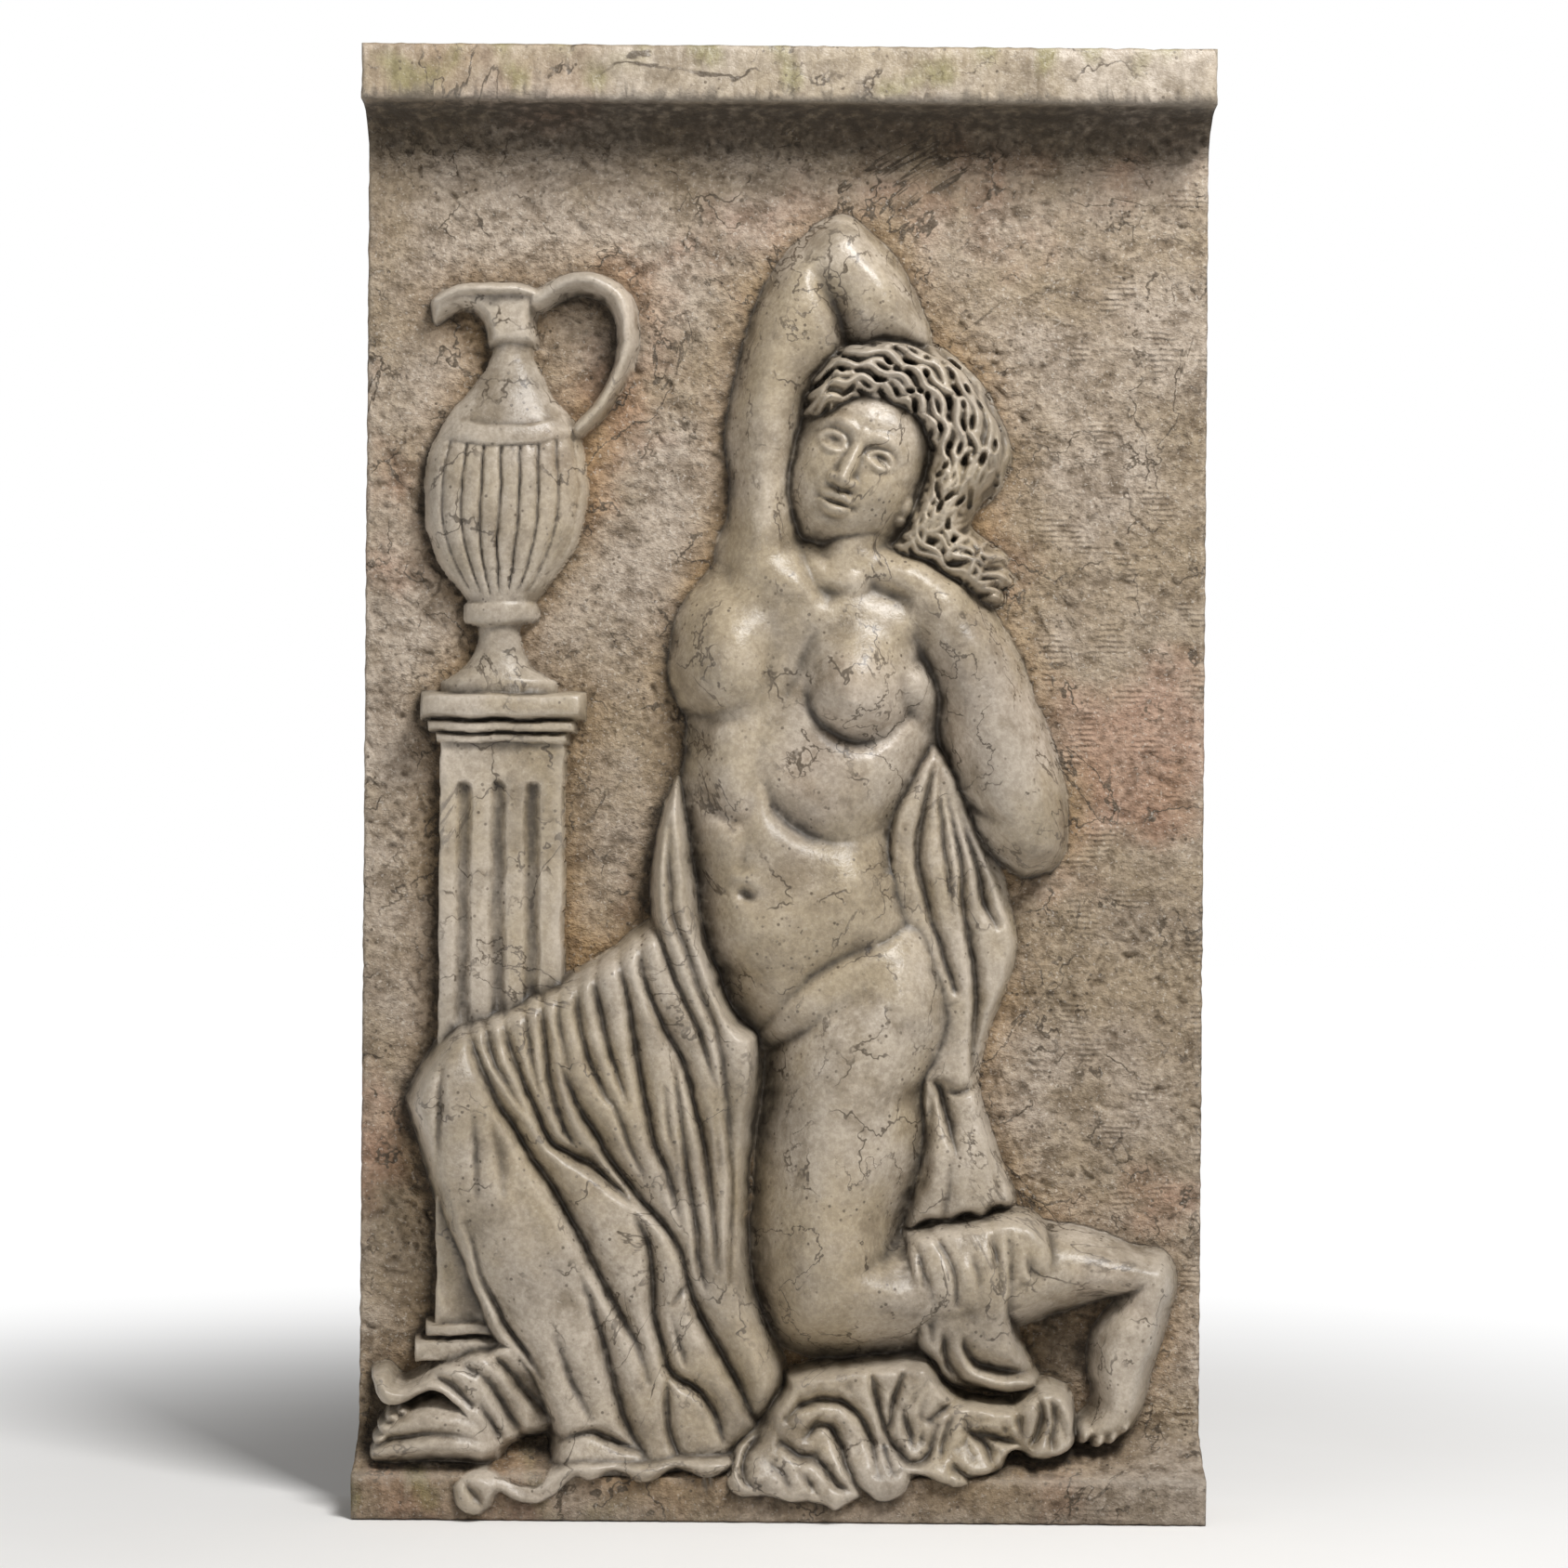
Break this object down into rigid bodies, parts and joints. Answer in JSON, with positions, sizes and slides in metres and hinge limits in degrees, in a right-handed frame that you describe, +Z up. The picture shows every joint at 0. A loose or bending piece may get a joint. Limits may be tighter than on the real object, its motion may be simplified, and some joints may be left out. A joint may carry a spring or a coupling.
{
  "type": "marble relief plaque",
  "caption": "Marble plaque carved in one piece: ledges above and below, and between them in relief a kneeling draped figure with one arm raised, beside a fluted pillar with a ribbed ewer. Flat back for a wall.",
  "frame": {"origin": "middle of the flat back face, which rests on the wall", "axes": "+Z up along the plaque's height, +Y out of the back into the wall so the carved face looks towards -Y, +X to the right seen from the front"},
  "size_m": [0.58, 0.1022, 1],
  "materials": {
    "marble": "aged cream-grey marble: worn smooth and slightly glossy on the figure, pecked and rough on the ground, brown dirt in the cuts and ochre patina beside the contours"
  },
  "bodies": {
    "root": {"relief_plaque": "marble"}
  },
  "joints": []
}
